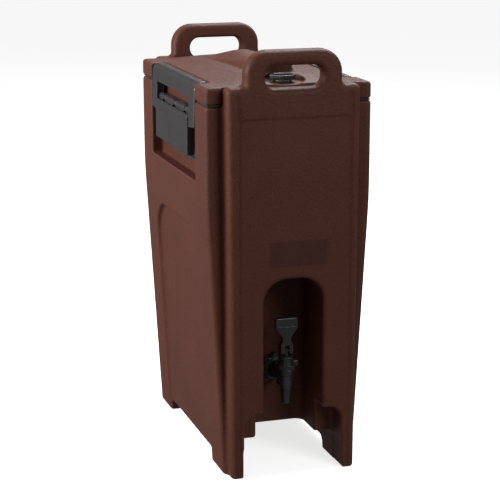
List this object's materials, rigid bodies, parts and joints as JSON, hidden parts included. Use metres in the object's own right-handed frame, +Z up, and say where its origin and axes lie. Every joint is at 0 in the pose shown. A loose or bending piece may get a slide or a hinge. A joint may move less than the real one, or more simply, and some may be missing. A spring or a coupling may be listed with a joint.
{
  "type": "insulated drinks carrier",
  "caption": "Tall insulated drinks carrier with lift-off lid, side latches, screw vent, moulded handles and a tap in a front bay.",
  "frame": {"origin": "on the floor, under the middle of the carrier", "axes": "+Z up, the tap faces -Y, +X towards the right-hand latch as seen from the front, with the row read from the front along +Y"},
  "size_m": [0.245, 0.412, 0.605],
  "materials": {
    "shell": "dark brown moulded polyethylene with a fine pebble",
    "label": "smooth dark brown polyethylene",
    "liner": "smooth brown polyethylene",
    "foam": "rigid polyurethane foam",
    "nylon": "charcoal glass-filled nylon",
    "black": "black moulded plastic",
    "seal": "black rubber",
    "silicone": "grey silicone",
    "steel": "stainless"
  },
  "bodies": {
    "carrier": {"outer_shell": "shell", "foam_core": "foam", "inner_tank": "liner", "foam_fill_plug": "shell", "blank_label": "label", "tap_body": "black", "tap_outer_washer": "seal", "tap_ring_nut": "black", "tap_inner_washer": "silicone", "tap_lock_nut": "black", "tap_bonnet": "black", "tap_spring": "steel", "right_latch_base": "nylon", "right_lever_pin": "steel", "right_latch_screw_1": "steel", "right_latch_screw_2": "steel", "left_latch_base": "nylon", "left_lever_pin": "steel", "left_latch_screw_1": "steel", "left_latch_screw_2": "steel"},
    "lid": {"lid_shell": "shell", "lid_foam": "foam", "lid_liner": "liner", "lid_gasket": "seal", "vent_bushing": "black"},
    "vent_lift": {"vent_seal": "silicone"},
    "vent_screw": {"vent_cap": "black"},
    "tap_valve": {"tap_stem": "black", "tap_seat_cup": "silicone", "tap_handle_pin": "steel"},
    "tap_lever": {"tap_handle": "black"},
    "right_lever": {"right_latch_lever": "nylon", "right_frame_pin_1": "steel", "right_frame_pin_2": "steel"},
    "right_frame": {"right_latch_frame": "nylon"},
    "left_lever": {"left_latch_lever": "nylon", "left_frame_pin_1": "steel", "left_frame_pin_2": "steel"},
    "left_frame": {"left_latch_frame": "nylon"}
  },
  "joints": [
    {"name": "lid_lift", "type": "slide", "parent": "carrier", "child": "lid", "axis": [0, 0, 1], "range_m": [0, 0.14]},
    {"name": "vent_rise", "type": "slide", "parent": "lid", "child": "vent_lift", "axis": [0, 0, 1], "range_m": [0, 0.0031]},
    {"name": "vent_turn", "type": "hinge", "parent": "vent_lift", "child": "vent_screw", "pos_m": [0, -0.15, 0.56], "axis": [0, 0, 1], "range_deg": [0, 270]},
    {"name": "tap_lift", "type": "slide", "parent": "carrier", "child": "tap_valve", "axis": [0, 0, 1], "range_m": [0, 0.0062], "deforming": ["tap_spring"]},
    {"name": "tap_tilt", "type": "hinge", "parent": "tap_valve", "child": "tap_lever", "pos_m": [0, -0.168, 0.173], "axis": [1, 0, 0], "range_deg": [0, 40], "stiffness_Nm_per_rad": 0.06},
    {"name": "right_lever_swing", "type": "hinge", "parent": "carrier", "child": "right_lever", "pos_m": [0.1115, 0, 0.51], "axis": [0, -1, 0], "range_deg": [0, 125]},
    {"name": "right_frame_swing", "type": "hinge", "parent": "right_lever", "child": "right_frame", "pos_m": [0.1155, 0, 0.497], "axis": [0, -1, 0], "range_deg": [-145, 0]},
    {"name": "left_lever_swing", "type": "hinge", "parent": "carrier", "child": "left_lever", "pos_m": [-0.1115, 0, 0.51], "axis": [0, 1, 0], "range_deg": [0, 125]},
    {"name": "left_frame_swing", "type": "hinge", "parent": "left_lever", "child": "left_frame", "pos_m": [-0.1155, 0, 0.497], "axis": [0, 1, 0], "range_deg": [-145, 0]}
  ],
  "couplings": [
    {"joint": "vent_rise", "follows": "vent_turn", "m_per_rad": 0.00063662},
    {"joint": "tap_lift", "follows": "tap_tilt", "m_per_rad": 0.0086},
    {"joint": "right_frame_swing", "follows": "right_lever_swing", "ratio": -1.15},
    {"joint": "left_frame_swing", "follows": "left_lever_swing", "ratio": -1.15}
  ]
}
